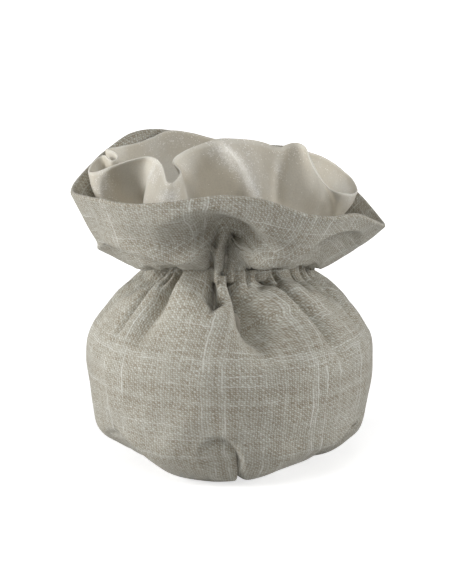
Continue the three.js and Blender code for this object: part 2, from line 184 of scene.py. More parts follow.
# Body, casing and ruffle are one gathered cloth round the neck, so they share its folds:
# azimuth at the neck, azimuth lower down, weight, reach down the body, half width at the neck and
# lower down, lean, azimuth up in the ruffle, reach up the ruffle as a share of its length.
# clothAnchor is the azimuth at which the cloth stays where it is when folds move the rest.
clothAnchor = -25.0
neckFolds = [
    (-79, -86, 0.8, 24, 1.2, 3.0, 0.0, -80, 0.25),
    (-66, -71, 0.7, 10, 0.9, 1.6, 0.0, -67, 0.22),
    (-60, -64, 0.7, 6, 0.8, 1.2, 0.0, -60, 0.18),
    (-52, -58.5, 1.5, 30, 0.8, 1.5, 0.3, -53, 0.24),
    (-44.5, -48, 0.6, 6, 0.8, 1.2, 0.0, -45, 0.18),
    (-37, -42, 1.6, 24, 1.1, 4.6, -0.1, -37, 0.22),
    (-13, -9, 3.4, 11, 0.95, 2.6, 0.0, -12.5, 0.42),
    (-3, 18.5, 4.4, 27, 1.0, 7.4, -0.42, 3, 0.36),
    (4.5, 7, 0.5, 3, 0.7, 0.9, 0.0, 8, 0.1),
    (12.5, 12.5, 0.6, 3, 0.7, 0.9, 0.0, 15, 0.12),
    (17, 52, 2.3, 36, 0.95, 2.2, -0.5, 24, 0.16),
    (33, 36, 0.7, 5, 0.8, 1.2, 0.0, 33, 0.18),
    (50, 56, 0.6, 7, 0.8, 1.4, 0.0, 50, 0.18),
    (64, 68, 0.8, 12, 1.0, 2.0, 0.0, 62, 0.24),
    (77, 80, 1.0, 30, 1.3, 3.6, 0.1, 77, 0.25),
    (90, 90, 0.5, 8, 1.0, 1.5, 0.0, 90, 0.2),
    (102, 99, 1.0, 30, 1.3, 3.6, 0.0, 103, 0.4),
    (115, 116, 0.6, 10, 1.0, 1.8, 0.0, 115, 0.2),
    (129, 127, 1.1, 36, 1.3, 4.0, -0.15, 131, 0.3),
    (145, 144, 0.6, 10, 1.0, 1.8, 0.0, 142, 0.4),
    (160, 165, 1.2, 34, 1.3, 4.4, 0.15, 160, 0.25),
    (176, 176, 0.6, 10, 1.0, 1.8, 0.0, 178, 0.4),
    (-168, -163, 1.2, 38, 1.3, 4.4, -0.15, -166, 0.25),
    (-152, -151, 0.6, 9, 1.0, 1.8, 0.0, -152, 0.2),
    (-137, -140, 1.1, 34, 1.3, 4.2, 0.15, -138, 0.4),
    (-121, -122, 0.6, 10, 1.0, 1.8, 0.0, -121, 0.2),
    (-106, -106, 1.0, 30, 1.3, 3.8, 0.0, -106, 0.35),
    (-93, -94, 0.5, 8, 1.0, 1.5, 0.0, -93, 0.2),
]

# the roll of cloth that stands out at the front of the neck: azimuth, half width in degrees, millimetres
neckRoll = {"middle": -7.5, "half": 4.2, "stand": 2.3}


def rollHeight(azimuth):
    return neckRoll["stand"] * np.exp(-(wrapDegrees(azimuth - neckRoll["middle"]) / neckRoll["half"]) ** 2)


bodyLook = {
    "clothAround": 284.0,
    "around": 470,
    "along": 196,
    "foldSettle": 8.0,
    "mostHidden": 13.0,
    "crown": 0.45,
    "crownFull": 16.0,
    "creaseDepth": 0.22,
    "creaseSize": 16.0,
    "outline": [
        (24.6, 63.6), (24.9, 62.2), (25.6, 60.6), (26.9, 59.3), (28.8, 58.2), (33, 54.8), (38.4, 49.6), (42.6, 43.6),
        (44.6, 39), (45, 32.5), (44.4, 25), (43.2, 18.5), (41.9, 13), (39.4, 8.8), (35.4, 4.8), (30.5, 1.9),
        (25, 0.45), (20.5, 0.2), (17.6, 1.05), (10.5, 1.1),
    ],
    # how far the cloth puffs up below the neck: azimuth, millimetres
    "puffs": [
        (-180, 1.5), (-120, 1), (-90, 0), (-62, 1.4), (-38, 4.6), (-20, 4.8), (-4, 2.2), (12, 4.2), (30, 4),
        (55, 1.6), (90, 0), (130, 1),
    ],
    "puffPeak": 5.5,
    "puffReach": 9.0,
    # short hollows under the neck: azimuth, distance down, half width, reach above and below, depth
    "pits": [
        (-9.5, 8.6, 5, 3.2, 1.3, 5.4), (21.5, 5, 3, 3, 2.6, 2.8), (13, 9.5, 4, 3.6, 4, 3.4), (22, 12, 5, 4, 6, 1.8),
    ],
    # hollows with one sharp side: azimuth, distance down, half width, half height, softness of the
    # side, the direction in which it lies (degrees from up to the right), depth
    "hollows": [
        (-4.5, 63, 8.2, 11.5, 0.24, 48, 2.7), (-58, 66, 11.5, 10.5, 0.3, 55, 2.2),
        (66, 67, 10.5, 12.5, 0.3, -45, 2.4),
    ],
    # azimuth above and below, weight, half width, lean
    "tucks": [
        (-61, -41, 1.0, 1.1, -0.9), (2.5, 6.5, 0.7, 0.9, -0.8), (79, 53, 1.0, 1.1, 0.9), (114, 98, 0.9, 1.2, 0.8),
        (150, 143, 1.0, 1.2, 0.6), (-172, -172, 1.0, 1.2, -0.6), (-132, -128, 1.0, 1.2, -0.8),
        (-100, -86, 0.9, 1.2, -0.8),
    ],
    "tuckStart": 48.0,
    "tuckFull": 72.0,
    "tuckMost": 4.2,
    "ease": 0.5,
    "easeFrom": 9.0,
    "easeTo": 28.0,
    "bandBottom": 3.5,
    # how far the edge of the base stands off the ground: azimuth, millimetres
    "lifts": [
        (-180, 0), (-100, 0), (-80, 1.8), (-65, 3.4), (-50, 2.6), (-39, 0.8), (-30, 0), (-10, 0), (10, 0),
        (20, 0.6), (32, 2.2), (45, 3.2), (60, 3.3), (75, 1.8), (90, 0.4), (100, 0), (140, 0),
    ],
}


def bodyPoints(look):
    places = np.linspace(0, 1, look["along"])
    line, length = splineOpen(look["outline"], places)
    step = length / (look["along"] - 1)
    side = outward(line, step)
    s = places * length
    spread = look["clothAround"]
    points = np.zeros((look["around"], look["along"], 3))
    cloth = np.arange(look["around"]) / look["around"] * spread
    uneven = creases(cloth, s, spread, 11, look["creaseSize"]) * look["creaseDepth"]
    for j, down in enumerate(s):
        r = line[j, 0]
        spare = max(spread - 2 * math.pi * r, 0)
        upper = smoothStep((63 - down) / 14)
        folds = []
        weights = []
        easing = float(smoothStep((down - look["easeFrom"]) / (look["easeTo"] - look["easeFrom"])))
        eased = 1 - (1 - look["ease"]) * easing
        below = max(down - look["bandBottom"], 0)
        for top, low, weight, reach, topWidth, lowWidth, lean, _, _ in neckFolds:
            way = 1 - math.exp(-(below + 2) / look["foldSettle"])
            share = weight * float(1 - smoothStep(below / reach)) * float(upper)
            width = topWidth + (lowWidth - topWidth) * min(below / (0.6 * reach), 1)
            folds.append((top + (low - top) * way, share, width, lean))
            weights.append(share)
        total = max(sum(weights), 1e-6)
        scale = spare / total * min(total / 4, 1) * eased
        folds = [(a, min(share * scale, look["mostHidden"]), w, lean) for a, share, w, lean in folds]
        grow = float(smoothStep((down - look["tuckStart"]) / (look["tuckFull"] - look["tuckStart"])))
        for top, low, weight, width, lean in look["tucks"]:
            hidden = min(spare / len(look["tucks"]), look["tuckMost"]) * weight * grow
            folds.append((top + (low - top) * grow, hidden, width, lean))
        azimuth, depth, lean = foldRing(r, spread, folds, clothAnchor, look["around"])
        under = 1 - smoothStep((down - 78) / 8)
        depth = depth * (0.15 + 0.85 * under)
        lean = lean * under
        crown = look["crown"] * min(down / look["crownFull"], 1)
        shift = crown * depth.mean() - depth + uneven[:, j] * smoothStep(down / 8) * under
        shift = shift + rollHeight(azimuth - 0.5 * min(down, 8)) * math.exp(-(down / 6.5) ** 2)
        for middle, at, halfWidth, above, beneath, deep in look["pits"]:
            x = wrapDegrees(azimuth - middle) * math.radians(1) * r / halfWidth
            y = (down - at) / (above if down < at else beneath)
            shift = shift - deep * np.exp(-x * x) * math.exp(-y * y)
        for middle, at, halfWidth, halfHeight, edge, heading, deep in look["hollows"]:
            x = wrapDegrees(azimuth - middle) * math.radians(1) * r / halfWidth
            y = (down - at) / halfHeight
            tilt = math.radians(heading)
            toward = np.clip(0.45 + 0.8 * (x * math.sin(tilt) - y * math.cos(tilt)), 0, 1)
            shift = shift - deep * smoothStep((1 - np.hypot(x, y)) / edge) * toward
        radius = r - side[j, 1] * shift
        puff = splineAround(look["puffs"], azimuth, 360)[:, 0]
        puff = puff * math.exp(-((down - look["puffPeak"]) / look["puffReach"]) ** 2)
        lift = splineAround(look["lifts"], azimuth, 360)[:, 0]
        lift = lift * float(smoothStep((14 - line[j, 1]) / 10) * smoothStep((r - 20) / 6))
        height = line[j, 1] + side[j, 0] * shift + puff + lift
        points[:, j] = turned(radius, azimuth + np.degrees(lean / np.maximum(radius, 8)), np.maximum(height, 0.12))
    weave = np.stack(np.meshgrid(cloth, -s, indexing="ij"), -1)
    return points, weave


casingLook = {
    "around": 640,
    "clothAround": 200.0,
    "along": 20,
    "innermost": 23.3,
    "mostHidden": 9.0,
    "crown": 0.35,
    "outline": [
        (22.6, 62.7), (23.8, 62.6), (24.55, 63.3), (24.6, 64.2), (24.6, 65.2), (24.5, 66.2), (23.8, 66.9), (22.4, 67),
    ],
}


def casingPoints(look):
    places = np.linspace(0, 1, look["along"])
    line, length = splineOpen(look["outline"], places)
    side = outward(line, length / (look["along"] - 1))
    spread = look["clothAround"]
    total = sum(fold[2] for fold in neckFolds)
    points = np.zeros((look["around"], look["along"], 3))
    for j in range(look["along"]):
        r = line[j, 0]
        spare = spread - 2 * math.pi * r
        folds = [(f[0], spare * f[2] / total, f[4], f[6]) for f in neckFolds]
        folds = [(a, min(h, look["mostHidden"]), w, lean) for a, h, w, lean in folds]
        azimuth, depth, lean = foldRing(r, spread, folds, clothAnchor, look["around"])
        shift = look["crown"] * depth.mean() - depth + rollHeight(azimuth)
        inner = min(look["innermost"], r - 0.2)
        radius = np.maximum(r + shift, inner)
        points[:, j] = turned(radius, azimuth + np.degrees(lean / r), line[j, 1] + 0 * shift)
    cloth = np.arange(look["around"]) / look["around"] * spread
    weave = np.stack(np.meshgrid(cloth, -places * length, indexing="ij"), -1)
    return points, weave


ruffleLook = {
    "clothAround": 298.0,
    "around": 560,
    "along": 72,
    "rimRows": 5,
    "thickness": 1.5,
    "mostHidden": 6.5,
    "sideHidden": 1.1,
    "crown": 0.3,
    "root": (24.5, 66.6),
    "creaseDepth": 0.2,
    "creaseSize": 15.0,
    # azimuth, then radius and height of throat, shoulder and rim, how round the shoulder is,
    # how far the wall is drawn in above it, and where and how far it bulges below the rim
    "rows": [
        (-180, 28, 67.5, 37, 70, 45, 91.4, 4, 0, 0.7, 0), (-152, 28, 67.5, 37.5, 70, 46, 97.2, 4, 0, 0.7, 0),
        (-137, 28, 66.6, 38, 69.4, 46.8, 97.2, 4, 0, 0.7, 0),
        (-122, 28, 65.2, 38.5, 68.8, 47.8, 92.6, 4, 0, 0.7, 0),
        (-95, 29.4, 64.1, 40.2, 68.1, 49.2, 86, 2, 0, 0.7, 0), (-76, 30, 64, 41.4, 71.4, 48.8, 87, 0.5, 0, 0.7, 0),
        (-58, 30, 64.4, 41, 73, 47.4, 88.2, 0.4, 0, 0.7, 0),
        (-40, 28.4, 66, 38.6, 71, 45.9, 88.8, 0.5, 0.4, 0.7, 0.4),
        (-28, 28, 67.4, 36.2, 69.4, 44.6, 90.2, 0.9, 1.6, 0.72, 0.9),
        (-20, 27.8, 68, 34.6, 69.8, 43.6, 91.2, 1.8, 4.8, 0.8, 1.2),
        (-14, 26.6, 68.2, 30.6, 71, 43, 91.9, 2.2, 6.8, 0.86, 1.4),
        (-8, 25, 69, 26.4, 72.4, 42.3, 92.4, 2, 7, 0.87, 1.6),
        (-3, 24.4, 69.8, 25.4, 74, 41.8, 92.8, 1.8, 6.2, 0.84, 1.8),
        (3, 24.6, 69.2, 25.8, 73.2, 42, 92.6, 2, 6.2, 0.78, 1.7),
        (9, 25.6, 68.4, 28, 71.8, 42.6, 92.1, 2.2, 6, 0.68, 1.6),
        (15, 27.6, 68, 33, 70, 43.4, 91.2, 2, 4.2, 0.58, 1.3),
        (22, 28, 67.8, 36.2, 69.2, 44.2, 89.4, 1.4, 0.8, 0.55, 0.9),
        (31, 28, 67.2, 38.6, 71, 45.5, 86.4, 0.5, 0, 0.6, 0.4),
        (42, 28.4, 66.8, 42, 77.6, 46.4, 84.5, 0.4, 0, 0.6, 0),
        (56, 29, 66.4, 44, 78.8, 46.8, 83.7, 0.5, 0, 0.7, 0),
        (68, 27.8, 63.6, 42.6, 75.6, 47.6, 80, 1.4, 0, 0.7, 0),
        (82, 26.7, 61.9, 39.6, 68.6, 48.4, 76, 2.4, 0, 0.7, 0), (102, 27, 62.4, 39, 68.2, 47.6, 75.4, 4, 0, 0.7, 0),
        (126, 28, 66.2, 38, 69.5, 47, 82, 4, 0, 0.7, 0), (152, 28, 67.5, 37, 70, 46, 90.9, 4, 0, 0.7, 0),
    ],
    # short hollows beside the pinch: azimuth, place, half width, reach above and below, depth
    "pits": [(-11, 0.33, 1.3, 0.09, 0.14, 3.4), (1.5, 0.27, 1.4, 0.1, 0.1, 2.8), (5, 0.33, 1.8, 0.06, 0.08, 2.4)],
    # how far the cloth steps back under the shoulder: azimuth, millimetres
    "lips": [
        (-180, 0), (-112, 0), (-95, -1.1), (-80, -1.2), (-68, 1), (-57, 3.1), (-40, 2.8), (-27, 1.4), (-16, 0),
        (0, 0), (17, 0), (25, 1), (33, 2.4), (42, 3.4), (52, 3), (64, 1.4), (78, 0), (120, 0),
    ],
    # azimuth, depth, half width
    "dents": [(104, 2.4, 10), (140, 2.6, 10), (178, 3, 10), (-138, 1, 10), (-108, 1.6, 9)],
}


def ruffleLines(look, azimuths, places):
    # The ruffle's lines from root to rim, one for each azimuth and place: shape [azimuth, place, 2].
    rows = splineAround(look["rows"], azimuths, 360)
    count = len(azimuths)
    throat, shoulder, rim = rows[:, 0:2], rows[:, 2:4], rows[:, 4:6]
    bend, drawn, bulgeAt, bulge = [rows[:, k:k + 1] for k in (6, 7, 8, 9)]
    before = throat - shoulder
    before /= np.linalg.norm(before, axis=1)[:, None]
    after = rim - shoulder
    ahead = after / np.linalg.norm(after, axis=1)[:, None]
    across = np.stack([ahead[:, 1], -ahead[:, 0]], 1)
    pts = np.zeros((count, 7, 2))
    pts[:, 0] = look["root"]
    pts[:, 1] = throat
    lip = splineAround(look["lips"], azimuths, 360)
    inward = np.stack([before[:, 1], -before[:, 0]], 1)
    pts[:, 2] = shoulder + before * (bend + 0.25 * lip) + inward * lip
    pts[:, 3] = shoulder + ahead * bend
    pts[:, 4] = shoulder + after * (0.36 - 0.04 * np.minimum(drawn, 1)) - across * drawn
    pts[:, 5] = shoulder + after * bulgeAt + across * bulge
    pts[:, 6] = rim
    gaps = np.linalg.norm(np.diff(pts, axis=1), axis=2)
    knots = np.concatenate([np.zeros((count, 1)), np.cumsum(gaps, axis=1)], 1)
    knots /= knots[:, -1:]
    x = np.concatenate([-knots[:, 1:2], knots, 2 - knots[:, 5:6]], 1)
    y = np.concatenate([2 * pts[:, :1] - pts[:, 1:2], pts, 2 * pts[:, 6:] - pts[:, 5:6]], 1)
    line = np.zeros((count, len(places), 2))
    every = np.arange(count)
    for k, place in enumerate(places):
        i = np.clip((x[:, 1:7] <= place).sum(axis=1), 1, 6)
        x0, x1, x2, x3 = [x[every, i + shift][:, None] for shift in (-1, 0, 1, 2)]
        y0, y1, y2, y3 = [y[every, i + shift] for shift in (-1, 0, 1, 2)]
        span = x2 - x1
        line[:, k] = cubicBetween((place - x1) / span, span, y0, y1, y2, y3, x2 - x0, x3 - x1)
    return line


def rufflePoints(look):
    spread = look["clothAround"]
    places = np.linspace(0, 1, look["along"])
    dense = np.arange(720) / 2 - 180
    denseLine = ruffleLines(look, dense, places)
    lengths = np.linalg.norm(np.diff(denseLine, axis=1), axis=2).sum(axis=1)
    length = float(lengths.mean())
    cloth = np.arange(look["around"]) / look["around"] * spread
    uneven = creases(cloth, places * length, spread, 5, look["creaseSize"]) * look["creaseDepth"]
    total = sum(fold[2] for fold in neckFolds)
    outer = np.zeros((look["around"], look["along"], 2))
    azimuthOf = np.zeros((look["around"], look["along"]))
    depths = np.zeros((look["around"], look["along"]))
    for j, place in enumerate(places):
        r = float(denseLine[:, j, 0].mean())
        ahead = np.roll(denseLine[:, j], -1, axis=0) - np.roll(denseLine[:, j], 1, axis=0)
        arcs = np.sqrt(denseLine[:, j, 0] ** 2 + (np.linalg.norm(ahead, axis=1) / math.radians(1)) ** 2) / r
        spare = max(spread - 2 * math.pi * r * float(arcs.mean()), 0)
        folds = []
        for low, _, weight, _, width, _, lean, up, reach in neckFolds:
            share = weight * float(1 - smoothStep(place / reach)) / total
            wide = width * (1 + 2.2 * place / reach)
            atPinch = reach > 0.33 and abs(low) < 20
            hidden = min(spare * share, look["mostHidden"] if atPinch else look["sideHidden"])
            folds.append((low + (up - low) * min(place / 0.35, 1), hidden, wide, lean * 0.4))
        azimuth, depth, lean = foldRing(r, spread, folds, clothAnchor, look["around"], arcs)
        azimuthOf[:, j] = azimuth + np.degrees(lean / r)
        depths[:, j] = depth - look["crown"] * depth.mean()
    for j, place in enumerate(places):
        near = [max(place - 0.01, 0), place, min(place + 0.01, 1)]
        lines = ruffleLines(look, wrapDegrees(azimuthOf[:, j]), near)
        along = lines[:, 2] - lines[:, 0]
        along /= np.linalg.norm(along, axis=1)[:, None]
        side = np.stack([along[:, 1], -along[:, 0]], 1)
        dent = depths[:, j] - uneven[:, j] * smoothStep(place / 0.3)
        dent = dent - rollHeight(azimuthOf[:, j]) * (1 - smoothStep(place / 0.3))
        for middle, deep, width in look["dents"]:
            x = wrapDegrees(azimuthOf[:, j] - middle) / width
            dent = dent + deep * np.exp(-x * x) * math.sin(math.pi * place)
        for middle, at, width, above, beneath, deep in look["pits"]:
            x = wrapDegrees(azimuthOf[:, j] - middle) * math.radians(1) * lines[:, 1, 0] / width
            y = (place - at) / (above if place > at else beneath)
            dent = dent + deep * np.exp(-x * x) * math.exp(-y * y)
        outer[:, j] = lines[:, 1] - side * dent[:, None]
    along = np.gradient(outer, axis=1)
    along /= np.linalg.norm(along, axis=2)[..., None]
    side = np.stack([along[..., 1], -along[..., 0]], -1)
    half = look["thickness"] / 2
    rings = [outer[:, j] for j in range(look["along"])]
    azimuths = [azimuthOf[:, j] for j in range(look["along"])]
    stations = [place * length for place in places]
    centre = outer[:, -1] - side[:, -1] * half
    for k in range(1, look["rimRows"] + 1):
        turn = math.pi * k / (look["rimRows"] + 1)
        rings.append(centre + half * (side[:, -1] * math.cos(turn) + along[:, -1] * math.sin(turn)))
        azimuths.append(azimuthOf[:, -1])
        stations.append(length + half * turn)
    for j in range(look["along"] - 1, -1, -1):
        rings.append(outer[:, j] - side[:, j] * 2 * half)
        azimuths.append(azimuthOf[:, j])
        stations.append(2 * length + math.pi * half - places[j] * length)
    ring = np.stack(rings, 1)
    azimuth = np.stack(azimuths, 1)
    points = turned(ring[..., 0], azimuth, ring[..., 1])
    weave = np.stack(np.meshgrid(cloth, np.array(stations), indexing="ij"), -1)
    return points, weave


frillLook = {
    "around": 760,
    "along": 60,
    "rootRadius": 21.2,
    "rootHeight": 65.6,
    "turn": 172.0,
    "upright": 0.14,
    "middle": 0.66,
    "thickness": 0.3,
    "hem": 0.5,
    # upper edge seen from above, going round from the left, as x, y, height,
    # and then x and y at the place given by middle
    "rows": [
        (-43.6, 2.6, 91.5, -39.9, 1.6), (-42.9, -0.2, 92.1, -40, -2.4), (-41.9, -1.8, 92.4, -39.6, -7.4),
        (-40.1, -3.1, 93.1, -37.8, -9), (-38.3, -4.1, 94, -35.8, -5.6), (-36.2, -5, 95, -34.2, -2),
        (-32.2, -6.5, 96.7, -31, -0.4), (-28, -7.5, 98.1, -27.4, -1.6), (-25, -8.5, 98.7, -25.2, -6),
        (-22.6, -10.5, 98.4, -25.3, -12.4), (-20.8, -14, 97.3, -25.4, -18.6), (-19.7, -19.2, 95.2, -23.6, -24),
        (-18.9, -22.8, 93.6, -20, -27.2), (-17.3, -23.6, 93.5, -16.4, -27.2), (-15.8, -20.6, 94.2, -13.6, -23.4),
        (-15, -15.8, 95, -12.9, -17.6), (-15.5, -12, 95.6, -12.8, -12.6), (-16.8, -9, 96.2, -12.8, -8.2),
        (-17.4, -6.4, 96.7, -12.2, -4), (-16.9, -3.6, 97.3, -10.8, -1), (-15.6, -0.8, 97.9, -8.8, 0.6),
        (-13, 1.8, 98.9, -6.2, 0.9), (-9.6, 4, 99.8, -3, 0.8), (-6.4, 5.4, 100.7, 1.2, -0.8),
        (-4.2, 6, 101.3, 4.2, -5), (-2.2, 6.2, 101.5, 5.9, -10.8), (0.6, 6, 101.5, 7.8, -15.2),
        (4.2, 5, 101.5, 10, -16.2), (8.2, 3.2, 101.4, 11.9, -16.2), (11.6, 1.6, 100.8, 13.6, -14.6),
        (14.1, 0.5, 100, 14.6, -11.2), (16, 1, 99.7, 15.8, -8), (17.3, 3, 100, 17.6, -6.4),
        (19.4, 4.8, 100.3, 19.8, -6), (21.3, 4.5, 100.4, 22, -6.8), (22.8, 2, 100.2, 24.4, -8),
        (23.7, -0.8, 99.6, 26.4, -9.2), (24.5, -4.2, 98, 28.2, -10.2), (25.6, -8, 95.8, 29.8, -11),
        (27.6, -11.6, 92.9, 31.2, -11.6), (30.4, -13.5, 90, 32.6, -11.8), (33.6, -13, 88.4, 33.8, -10.6),
        (37, -10, 87.3, 35, -8), (39, -5, 86.7, 35.2, -4), (39.6, 1, 86.7, 35, 0), (38.4, 8, 88.2, 34.8, 7),
        (36.1, 14, 89.4, 33, 13), (32.7, 20, 91.1, 30, 18.6), (28.4, 26, 92.3, 26.2, 24),
        (22, 31.2, 93, 20.5, 28.8), (15, 34.2, 93.4, 14, 31.6), (8.2, 36, 93.8, 7.6, 33.4), (1, 37, 94.4, 1, 34.4),
        (-5.1, 37.5, 95.4, -4.8, 34.8), (-12.7, 38.5, 97.2, -11.6, 34.6), (-19.5, 37.5, 98, -17.4, 33),
        (-24.9, 35, 96.3, -21.6, 30), (-29.2, 32, 95.2, -25.4, 27.4), (-34.6, 27, 94.9, -30.6, 23.4),
        (-38.8, 20.5, 95.4, -35.2, 18), (-38.4, 16.2, 96, -34.8, 14.4), (-36.8, 12.6, 96.3, -33.6, 11),
        (-35.2, 9.4, 95.7, -32.6, 8), (-35.2, 6.8, 94.9, -32.9, 5.8), (-36.8, 6.4, 94.5, -34.4, 5.4),
        (-38.2, 9.2, 94.8, -35.6, 7.8), (-39.6, 12.6, 94.9, -36.7, 10.6), (-41.6, 12.4, 93.9, -38.2, 10.6),
        (-43.2, 9.6, 92.7, -39.3, 8.2), (-43.9, 6, 91.7, -39.8, 5),
    ],
}


def frillPoints(look):
    table = np.array(look["rows"], float)
    edge = table[:, :3]
    gaps = np.linalg.norm(np.diff(np.vstack([edge, edge[:1]]), axis=0), axis=1)
    start = np.concatenate([[0], np.cumsum(gaps)])
    length = float(start[-1])
    rows = np.column_stack([start[:-1], table])
    place = np.arange(look["around"]) / look["around"] * length
    spot = splineAround(rows, place, length)
    turn = np.radians(look["turn"]) + place / length * 2 * math.pi
    root = np.stack([np.cos(turn), np.sin(turn)], 1) * look["rootRadius"]
    rises = np.linspace(0, 1, look["along"])
    height = float(edge[:, 2].mean() - look["rootHeight"]) * 1.12
    uneven = creases(place, rises * height, length, 23, 13.0) * 0.35
    middle = np.zeros((look["around"], look["along"], 3))
    m = (look["middle"] - look["upright"]) / (1 - look["upright"])
    for j, rise in enumerate(rises):
        # straight up at first, then one smooth line through root, lower place and edge
        way = max(rise - look["upright"], 0) / (1 - look["upright"])
        a = (way - m) * (way - 1) / m
        b = way * (way - 1) / (m * (m - 1))
        c = way * (way - m) / (1 - m)
        middle[:, j, :2] = root * a + spot[:, 3:5] * b + spot[:, :2] * c
        middle[:, j, 2] = look["rootHeight"] + (spot[:, 2] - look["rootHeight"]) * rise
    ahead = np.roll(middle, -2, axis=0) - np.roll(middle, 2, axis=0)
    side = np.stack([ahead[..., 1], -ahead[..., 0]], -1)
    side /= np.linalg.norm(side, axis=2)[..., None]
    middle[..., :2] += side * (uneven * np.sin(math.pi * rises))[..., None]
    thick = look["thickness"] + (look["hem"] - look["thickness"]) * smoothStep((rises - 0.955) / 0.01)
    rings = []
    stations = []

    def addRing(j, aside, up, station):
        ring = middle[:, j].copy()
        ring[:, :2] += side[:, j] * aside
        ring[:, 2] += up
        rings.append(ring)
        stations.append(station)

    half = thick / 2
    for j in range(look["along"]):
        addRing(j, half[j], 0, rises[j] * height)
    for k in range(1, 4):
        turn = math.pi * k / 4
        addRing(-1, half[-1] * math.cos(turn), half[-1] * math.sin(turn), height + thick[-1] * k / 4)
    for j in range(look["along"] - 1, -1, -1):
        addRing(j, -half[j], 0, 2 * height + thick[-1] - rises[j] * height)
    points = np.stack(rings, 1)
    weave = np.stack(np.meshgrid(place, np.array(stations), indexing="ij"), -1)
    return points, weave, length, height


# Painted glints on the organza, where it would catch the light: place along the edge in millimetres, share of the
# height, reach both ways and strength.
frillPaintedGlints = [
    (8.6, 0.86, 2.4, 0.16, 0.75), (28.6, 0.90, 1.8, 0.08, 0.9), (32.5, 0.93, 2.5, 0.10, 0.35),
    (42.6, 0.86, 3.2, 0.10, 0.95), (48.5, 0.97, 2.5, 0.05, 0.4), (66.0, 0.88, 3.0, 0.10, 0.15),
    (81.5, 0.94, 4.0, 0.06, 0.9), (82.2, 0.86, 3.4, 0.07, 1.2), (82.8, 0.79, 2.8, 0.06, 1.3),
    (84.6, 0.72, 2.2, 0.05, 1.3), (87.0, 0.66, 1.8, 0.04, 1.0), (90.0, 0.86, 5.0, 0.14, 0.35),
    (101.5, 0.82, 2.6, 0.14, 0.5), (109.5, 0.93, 5.0, 0.07, 0.25), (143.5, 0.92, 3.0, 0.12, 0.35),
    (232.0, 0.93, 9.0, 0.10, 0.35), (168.0, 0.9, 8.0, 0.1, 0.12),
]


def frillPaintedGlintAndHem(piece, weave, length, height, paintedGlint):
    # A value at each point that the material reads: x painted glint (highlight painted into the colour), y hem.
    along = weave[..., 0].ravel()
    rise = np.where(weave[..., 1] <= height, weave[..., 1], 2 * height - weave[..., 1]).ravel() / height
    finish = np.zeros((len(along), 3), np.float32)
    for place, share, reach, reachUp, strength in paintedGlint:
        apart = (along - place + length / 2) % length - length / 2
        finish[:, 0] += strength * np.exp(-((apart / reach) ** 2 + ((rise - share) / reachUp) ** 2))
    finish[:, 1] = smoothStep((rise - 0.968) / 0.012)
    layer = piece.data.attributes.new("finish", "FLOAT_VECTOR", "POINT")
    layer.data.foreach_set("vector", np.clip(finish, 0, 1.3).ravel())


liningLook = {
    "clothAround": 200.0,
    "around": 160,
    "thickness": 0.25,
    "outline": [
        (21.2, 65.4), (21.3, 60.5), (22.8, 55.5), (26.4, 48.6), (31.4, 40.5), (35.6, 32), (36.7, 22), (33, 12.5),
        (26.2, 6), (20.6, 4.5), (8, 4.5), (0.4, 4.5),
    ],
}


def liningPoints(look):
    rows = 60
    places = np.linspace(0, 1, rows)
    line, length = splineOpen(look["outline"], places)
    side = outward(line, length / (rows - 1))
    azimuth = np.arange(look["around"]) / look["around"] * 360 - 180
    spread = look["clothAround"]
    cloth = np.arange(look["around"]) / look["around"] * spread
    uneven = creases(cloth, places * length, spread, 31, 14.0) * 0.35
    rings = []
    stations = []
    for layer in (1, 0):
        for j in range(rows) if layer else range(rows - 1, -1, -1):
            gathers = 0.5 * np.cos(np.radians(azimuth) * 24) * math.exp(-places[j] * 9)
            ripple = np.abs(gathers + uneven[:, j]) * min(line[j, 0] / 20, 1) * 0.6 + look["thickness"] * (1 - layer)
            radius = np.maximum(line[j, 0] + side[j, 1] * ripple, 0.3)
            height = line[j, 1] + np.abs(side[j, 0]) * ripple
            rings.append(turned(radius, azimuth, height))
            stations.append(-places[j] * length if layer else -2 * length + places[j] * length)
    points = np.stack(rings, 1)
    weave = np.stack(np.meshgrid(cloth, np.array(stations), indexing="ij"), -1)
    return points, weave


elasticLook = {
    "radius": 22.55,
    "height": 64.75,
    "width": 1.9,
    "thickness": 0.7,
    "rounding": 0.3,
    "wave": 0.12,
    "waves": 48,
    "steps": 360,
}


